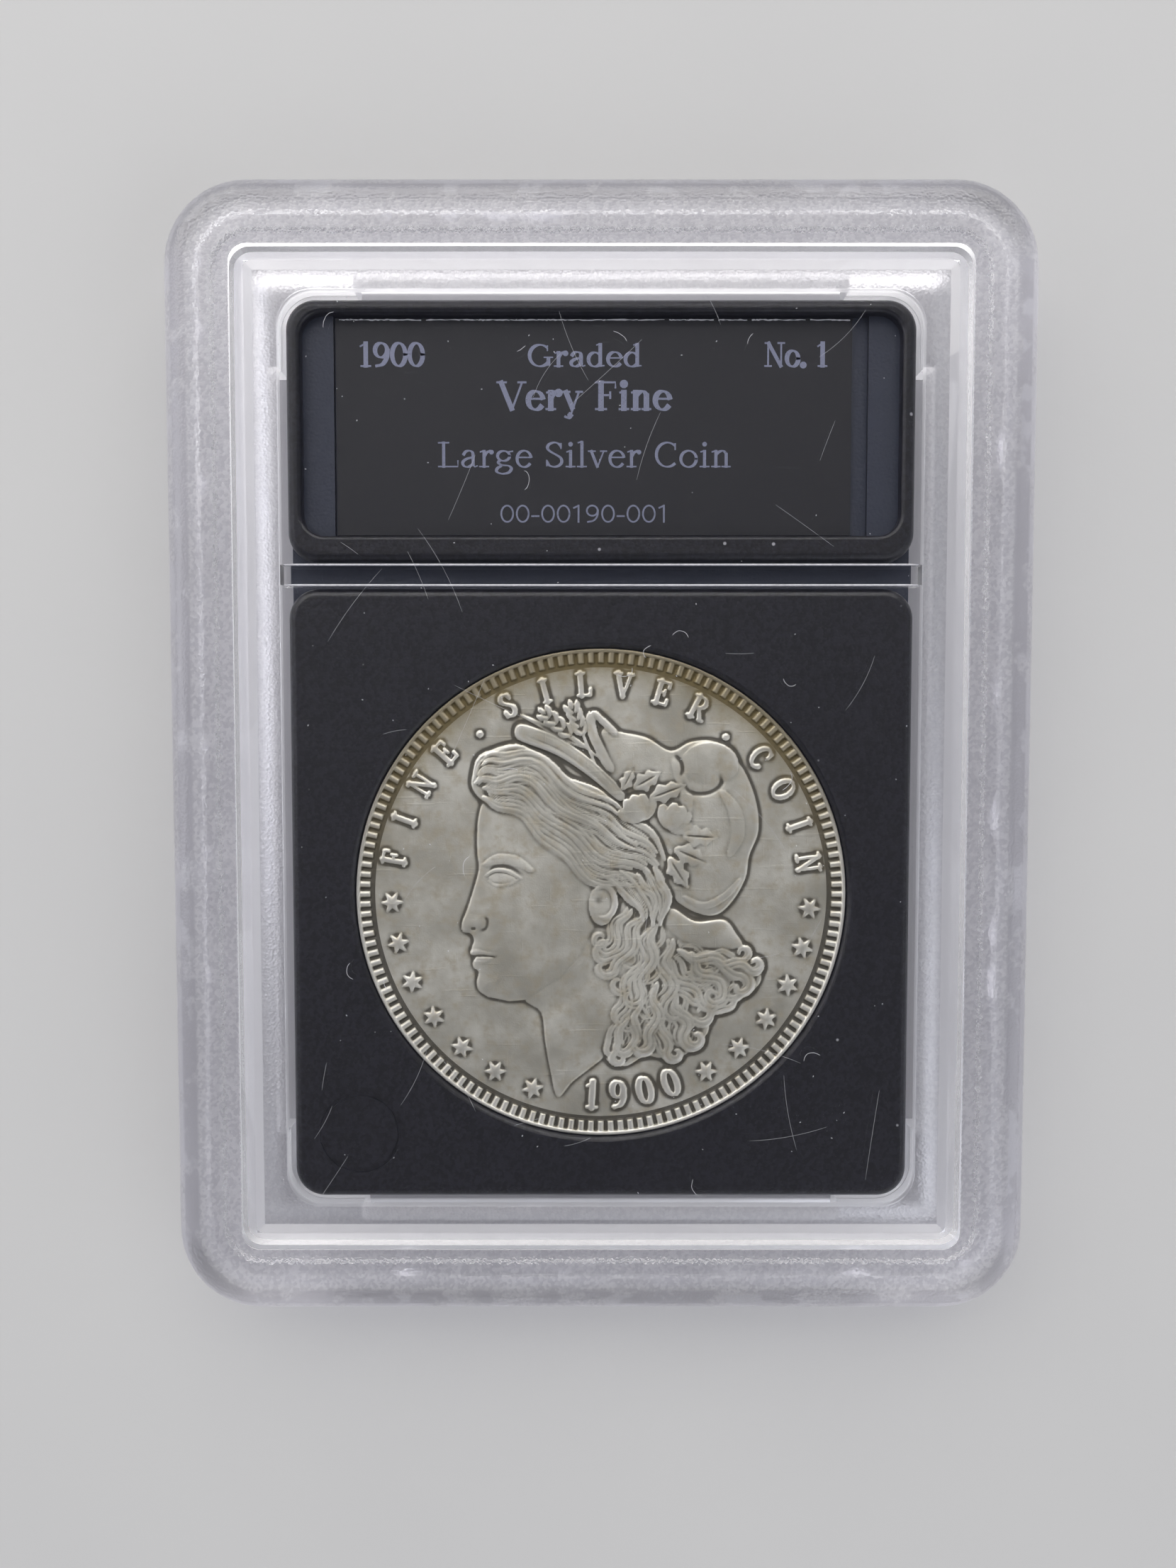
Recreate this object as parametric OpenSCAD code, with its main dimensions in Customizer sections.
// Graded coin slab: a sealed, flat, clear case that shows one large silver coin and a printed card.
// The case lies on its back. X runs across it, Y runs up towards the card, Z comes out of its window.
// The origin lies on the plane of the back rim, under the middle of the case.

/* [Case outline] */
// Width of the case
case_w = 65.5; // [63:0.5:90]
// Height of the case
case_h = 86; // [83:0.5:120]
// Radius of the case's corners, seen from the front
corner_r = 6.4; // [4:0.1:10]
// Radius that softens the case's outer edges
edge_r = 2; // [0.6:0.1:2.6]

/* [Frame round the window] */
// Width of the raised rim
rim_w = 5.25; // [4.5:0.05:6.5]
// Corner radius of the opening inside the rim
opening_r = 1.4; // [1:0.1:3]
// How far the steep polished wall inside the rim runs inward
wall_run = 0.8; // [0.2:0.05:0.95]
// How far the shallow polished bevel below it runs inward
bevel_run = 0.6; // [0.3:0.05:1.2]
// Height of that shallow bevel
bevel_h = 0.35; // [0.2:0.05:0.5]
// Depth of the front window below the rim
front_recess = 1.5; // [0.8:0.1:2.5]
// Depth of the back window below the back rim
back_recess = 0.8; // [0.6:0.1:2]
// Width of the frosted ledge between the bevel and the room for the insert
ledge_w = 1.6; // [1.5:0.1:3]
// How much narrower that ledge is at the top and bottom of the case
ledge_trim = 0.4; // [0:0.05:0.4]

/* [Plate thickness] */
// Thickness of the front window
front_plate = 1.3; // [0.8:0.1:2.5]
// Thickness of the back window
back_plate = 1.1; // [0.8:0.1:2.5]

/* [Weld between the shells] */
// Gap that the melted bead fills between the two shells
weld_gap = 0.1; // [0.06:0.02:0.2]
// Distance from the case's outer face to the bead
weld_in = 0.85; // [0.6:0.05:1.4]
// Width of the bead
weld_w = 1.2; // [0.8:0.1:1.6]
// Width of the lip that lines the shells up
lip_w = 1; // [0.6:0.1:1.2]
// Height of that lip
lip_h = 0.7; // [0.4:0.1:0.9]
// Clearance round the lip
lip_clear = 0.1; // [0.05:0.01:0.2]

/* [Coin] */
// Diameter of the coin
coin_d = 38.1; // [20:0.1:41]
// Thickness of the coin at its rim
coin_t = 2.4; // [1.5:0.05:3.5]
// Width of the coin's raised rim
coin_rim = 1.3; // [0.6:0.1:2]
// Depth of the coin's field below its rim
coin_field = 0.3; // [0.1:0.05:0.35]
// Radial clearance of the coin in its hole
coin_clear = 0.06; // [0.02:0.01:0.1]
// Play under the coin
coin_play = 0.05; // [0.02:0.01:0.1]
// Distance of the coin's centre above the middle of its pad
coin_up = 0.15; // [0:0.05:0.8]

/* [Insert] */
// Room between the insert and the case
insert_clear = 0.5; // [0.2:0.05:0.8]
// Room above and below the insert
insert_play = 0.05; // [0.02:0.01:0.1]
// Corner radius of the insert
insert_r = 2.3; // [1.2:0.1:4]
// Radius that softens the top edges of the insert's two pads
pad_edge = 0.7; // [0.2:0.05:0.8]
// Thickness of the shelf under the coin's rim
shelf_t = 0.45; // [0.3:0.05:0.8]
// How far the shelf reaches under the coin's rim
shelf_w = 0.4; // [0.2:0.05:0.8]
// Height of the insert above the coin
coin_sunk = 0.3; // [0.1:0.05:0.6]
// Radius of the lip round the coin's hole
lip_round = 0.4; // [0.2:0.05:0.5]
// Height of the insert's base between the two pads
base_t = 1.3; // [0.8:0.1:1.6]
// Height of the pad that holds the card
card_pad_h = 19.8; // [16:0.1:26]
// Gap between the two pads
pad_gap = 2; // [1.9:0.1:4]

/* [Card] */
// Width of the card's pad beside its tray
tray_side = 1.15; // [0.8:0.05:2]
// Height of the card's pad above its tray
tray_top = 1.1; // [0.8:0.05:2]
// Height of the card's pad below its tray
tray_bottom = 2; // [0.8:0.05:3]
// Corner radius of the tray
tray_r = 1.7; // [1.2:0.1:3]
// Radius that softens the tray's mouth
tray_edge = 0.35; // [0.15:0.05:0.4]
// Depth of the tray
tray_d = 0.9; // [0.5:0.05:1.1]
// Width of the tray's step at each side of the card's channel
step_w = 2.4; // [1:0.1:4]
// Depth of the card's channel below the tray
channel_d = 0.35; // [0.3:0.05:0.6]
// Thickness of the card
card_t = 0.25; // [0.2:0.05:0.3]
// How far the card can slide along its channel
card_travel = 1.1; // [0.2:0.1:2]
// Clearance round the card
card_clear = 0.15; // [0.05:0.05:0.4]

/* [Rib and reliefs] */
// Thickness of the front shell's rib between the two pads
rib_w = 1.55; // [1:0.05:1.8]
// Clearance under that rib
rib_clear = 0.1; // [0.05:0.05:0.3]
// Depth of the side reliefs in the wall round the insert
side_relief = 0.8; // [0.3:0.1:1.2]
// Length of the side reliefs
side_relief_len = 58.9; // [30:0.1:60]
// Depth of the end reliefs in the wall round the insert
end_relief = 1.25; // [0.3:0.05:1.5]
// Length of the end reliefs
end_relief_len = 37.4; // [20:0.1:40]

/* [Ring mark] */
// Outer radius of the ring cut into the coin's pad
mark_r = 3.2; // [2:0.1:3.4]
// Width of the ring's line
mark_w = 0.3; // [0.2:0.05:0.5]
// Depth of the ring's line
mark_d = 0.08; // [0.04:0.01:0.2]
// Distance from the pad's two edges to the ring's centre
mark_in = 5.2; // [4.6:0.1:6]

/* [Hidden] */
$fn = 96;
eps = 0.01;

// Heights of the stack, from the back rim up
insert_t = shelf_t + coin_play + coin_t + coin_sunk;
back_in_z = back_recess + back_plate;
insert_z = back_in_z + insert_play;
insert_top = insert_z + insert_t;
front_in_z = insert_top + insert_play;
front_out_z = front_in_z + front_plate;
case_t = front_out_z + front_recess;
parting_z = case_t / 2;
base_z = insert_z + base_t;
tray_z = insert_top - tray_d;
channel_z = tray_z - channel_d;

// The room for the insert, and the insert in it
bevel_in = rim_w + wall_run + bevel_run;
room_w = case_w - 2 * (bevel_in + ledge_w);
room_h = case_h - 2 * (bevel_in + ledge_w - ledge_trim);
room_r = insert_r + insert_clear;
insert_w = room_w - 2 * insert_clear;
insert_h = room_h - 2 * insert_clear;

// The two pads on the insert's base
insert_y1 = insert_h / 2;
insert_y0 = -insert_h / 2;
card_pad_y0 = insert_y1 - card_pad_h;
coin_pad_y1 = card_pad_y0 - pad_gap;
coin_y = (coin_pad_y1 + insert_y0) / 2 + coin_up;
gap_y = coin_pad_y1 + pad_gap / 2;

// The card in its channel, at the left end of its travel
tray_w = insert_w - 2 * tray_side;
tray_y0 = card_pad_y0 + tray_bottom;
tray_y1 = insert_y1 - tray_top;
channel_w = tray_w - 2 * step_w;
card_w = channel_w - card_travel - 2 * card_clear;
card_h = tray_y1 - tray_y0 - 2 * card_clear;
card_x0 = -channel_w / 2 + card_clear;

coin_z = insert_z + shelf_t + coin_play;
hole_r = coin_d / 2 + coin_clear;

// An outline with round corners
module rounded(w, h, r) {
    square([w - 2 * r, h], center = true);
    square([w, h - 2 * r], center = true);
    for (x = [-1, 1], y = [-1, 1])
        translate([x * (w / 2 - r), y * (h / 2 - r)]) circle(r);
}

// A plate with round corners, from height z0 to z1
module plate(w, h, r, z0, z1) {
    translate([0, 0, z0]) linear_extrude(z1 - z0) rounded(w, h, r);
}

// Sweeps a profile round an outline with round corners: its X points outward, and its Y points up
module sweep(w, h, r) {
    for (a = [0, 180]) {
        rotate([0, 0, a]) translate([w / 2, 0, 0]) rotate([90, 0, 0])
            linear_extrude(h - 2 * r, center = true) children();
        rotate([0, 0, a + 90]) translate([h / 2, 0, 0]) rotate([90, 0, 0])
            linear_extrude(w - 2 * r, center = true) children();
        rotate([0, 0, a]) translate([w / 2 - r, h / 2 - r, 0])
            rotate_extrude(angle = 90) translate([r, 0]) children();
        rotate([0, 0, a]) translate([w / 2 - r, r - h / 2, 0])
            rotate([0, 0, -90]) rotate_extrude(angle = 90) translate([r, 0]) children();
    }
}

// The corner that a round edge of radius e leaves out, with the edge at the profile's origin
module edge_waste(e) {
    difference() {
        translate([-e, -e]) square(e + eps);
        translate([-e, -e]) circle(e);
    }
}

// A plate whose upper edges are softened by the radius e
module soft_plate(w, h, r, e, z0, z1) {
    difference() {
        plate(w, h, r, z0, z1);
        translate([0, 0, z1]) sweep(w, h, r) edge_waste(e);
    }
}

// What softens the mouth of a pocket by the radius e
module mouth(w, h, r, e, z1) {
    translate([0, 0, z1]) sweep(w, h, r) mirror([1, 0]) edge_waste(e);
}

// A tapered pocket: w by h with corner radius r at height z1, and smaller by run all round at z0
module tapered(w, h, r, run, z0, z1) {
    function side(x) = [[-x + run, z0], [x - run, z0], [x, z1], [-x, z1]];
    rotate([90, 0, 0]) linear_extrude(h - 2 * r, center = true) polygon(side(w / 2));
    rotate([90, 0, 90]) linear_extrude(w - 2 * r, center = true) polygon(side(h / 2));
    for (x = [-1, 1], y = [-1, 1])
        translate([x * (w / 2 - r), y * (h / 2 - r), z0]) cylinder(h = z1 - z0, r1 = r - run, r2 = r);
}

// A tapered pocket with sharp corners
module mitred(w, h, run, z0, z1) {
    polyhedron(
        points = [for (k = [[run, z0], [0, z1]], c = [[-1, -1], [1, -1], [1, 1], [-1, 1]])
            [c[0] * (w / 2 - k[0]), c[1] * (h / 2 - k[0]), k[1]]],
        faces = [[0, 1, 2, 3], [7, 6, 5, 4], [0, 4, 5, 1], [1, 5, 6, 2], [2, 6, 7, 3], [3, 7, 4, 0]]);
}

// What is cut away inside the rim: the steep wall, then the shallow bevel, then the flat window
module window_cut(depth) {
    w = case_w - 2 * rim_w;
    h = case_h - 2 * rim_w;
    floor_z = case_t - depth;
    translate([0, 0, eps]) tapered(w, h, opening_r, wall_run, floor_z + bevel_h, case_t);
    mitred(w - 2 * wall_run, h - 2 * wall_run, bevel_run, floor_z, floor_z + bevel_h + eps);
}

// The room for the insert, with its four shallow reliefs, between two heights
module room(z0, z1) {
    plate(room_w, room_h, room_r, z0, z1);
    translate([0, 0, (z0 + z1) / 2]) {
        cube([room_w + 2 * side_relief, side_relief_len, z1 - z0], center = true);
        cube([end_relief_len, room_h + 2 * end_relief, z1 - z0], center = true);
    }
}

// A ring that follows the case's outline, between two distances from its outer face
module ring(in0, in1, z0, z1) {
    difference() {
        plate(case_w - 2 * in0, case_h - 2 * in0, max(corner_r - in0, opening_r), z0, z1);
        plate(case_w - 2 * in1, case_h - 2 * in1, max(corner_r - in1, opening_r), z0 - eps, z1 + eps);
    }
}

module back_shell() {
    color("lavender", 0.4) {
        difference() {
            translate([0, 0, case_t]) mirror([0, 0, 1])
                soft_plate(case_w, case_h, corner_r, edge_r, parting_z + weld_gap / 2, case_t);
            translate([0, 0, case_t]) mirror([0, 0, 1]) window_cut(back_recess);
            room(back_in_z, parting_z);
        }
        ring(weld_in + weld_w + 2 * lip_clear, weld_in + weld_w + 2 * lip_clear + lip_w,
            parting_z - weld_gap, parting_z + lip_h);
    }
}

module front_shell() {
    color("lavender", 0.4) {
        difference() {
            soft_plate(case_w, case_h, corner_r, edge_r, parting_z + weld_gap / 2, case_t);
            window_cut(front_recess);
            room(parting_z, front_in_z);
            ring(weld_in + weld_w + lip_clear, weld_in + weld_w + 3 * lip_clear + lip_w,
                parting_z, parting_z + lip_h + lip_clear);
        }
        translate([0, gap_y, (base_z + rib_clear + front_in_z) / 2])
            cube([room_w + 2 * eps, rib_w, front_in_z - base_z - rib_clear + 2 * eps], center = true);
    }
}

// The bead that melts when the shells are welded
module weld_bead() {
    color("white")
        ring(weld_in, weld_in + weld_w, parting_z - weld_gap / 2, parting_z + weld_gap / 2);
}

// One of the insert's two pads, between two places along Y
module pad(y0, y1) {
    translate([0, (y0 + y1) / 2, 0])
        soft_plate(insert_w, y1 - y0, insert_r, pad_edge, insert_z, insert_top);
}

// The hole for the coin: a shelf, a bore and a round lip
module coin_hole() {
    translate([0, coin_y, 0]) {
        translate([0, 0, insert_z - eps]) cylinder(h = insert_t + 2 * eps, r = hole_r - shelf_w - coin_clear);
        translate([0, 0, insert_z + shelf_t]) cylinder(h = insert_t, r = hole_r);
        rotate_extrude() translate([hole_r, insert_top]) mirror([1, 0]) edge_waste(lip_round);
    }
}

// The ring cut into the lower left corner of the coin's pad
module ring_mark() {
    translate([-insert_w / 2 + mark_in, insert_y0 + mark_in, insert_top - mark_d]) difference() {
        cylinder(h = 2 * mark_d, r = mark_r);
        cylinder(h = 6 * mark_d, r = mark_r - mark_w, center = true);
    }
}

module coin_insert() {
    color("#26242b") difference() {
        union() {
            plate(insert_w, insert_h, insert_r, insert_z, base_z);
            pad(insert_y0, coin_pad_y1);
            pad(card_pad_y0, insert_y1);
        }
        coin_hole();
        ring_mark();
        translate([0, (tray_y0 + tray_y1) / 2, 0]) {
            plate(tray_w, tray_y1 - tray_y0, tray_r, tray_z, insert_top + eps);
            plate(channel_w, tray_y1 - tray_y0, eps, channel_z, tray_z + eps);
            mouth(tray_w, tray_y1 - tray_y0, tray_r, tray_edge, insert_top);
        }
    }
}

module coin() {
    field_r = coin_d / 2 - coin_rim;
    color("#a5a194") translate([0, coin_y, coin_z]) difference() {
        cylinder(h = coin_t, r = coin_d / 2);
        translate([0, 0, coin_t - coin_field]) cylinder(h = coin_t, r = field_r);
        translate([0, 0, coin_field - coin_t]) cylinder(h = coin_t, r = field_r);
    }
}

module label_card() {
    color("#1d1c22")
        translate([card_x0, tray_y0 + card_clear, channel_z + insert_play])
            cube([card_w, card_h, card_t]);
}

back_shell();
coin_insert();
coin();
label_card();
weld_bead();
front_shell();
